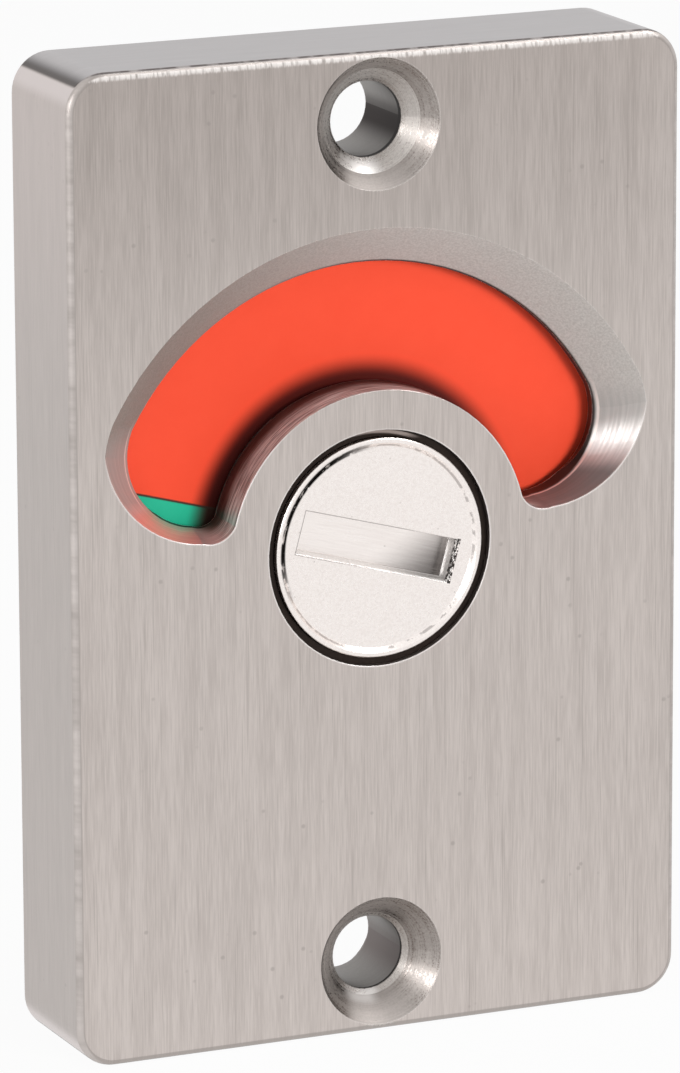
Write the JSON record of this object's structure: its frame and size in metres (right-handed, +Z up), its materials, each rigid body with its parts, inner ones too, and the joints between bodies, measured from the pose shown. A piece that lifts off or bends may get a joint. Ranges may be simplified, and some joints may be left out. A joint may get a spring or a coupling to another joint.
{
  "type": "toilet indicator plate",
  "caption": "Outside half of a toilet indicator bolt: brushed cast plate with a curved red and green window, a coin-slotted release spindle and countersunk fixing holes.",
  "frame": {"origin": "on the rear mounting plane, at the spindle axis, midway between the fixing holes", "axes": "+Z up the door, +Y into the door, front face towards -Y, +X to the right seen from the front"},
  "size_m": [0.05, 0.011, 0.076],
  "materials": {
    "brushed_plate": "vertically brushed, satin",
    "black_nylon": "moulded, matt",
    "bright_nickel": "polished die casting",
    "disc_metal": "plain sheet",
    "red_vinyl": "flat vermilion film",
    "green_vinyl": "flat green film",
    "spring_steel": "phosphated",
    "zinc_plate": "zinc plated"
  },
  "bodies": {
    "housing": {"face_plate": "brushed_plate", "spindle_bush": "black_nylon", "spring_washer": "spring_steel", "stop_pin": "zinc_plate", "back_cover": "zinc_plate", "cover_screws": "zinc_plate"},
    "spindle": {"release_spindle": "bright_nickel", "indicator_disc": "disc_metal", "red_film": "red_vinyl", "green_film": "green_vinyl", "retaining_ring": "spring_steel", "stop_cam": "zinc_plate"}
  },
  "joints": [
    {"name": "release_turn", "type": "hinge", "parent": "housing", "child": "spindle", "pos_m": [0, -0.0055, 0], "axis": [0, 1, 0], "range_deg": [-15.5, 164.5]}
  ]
}
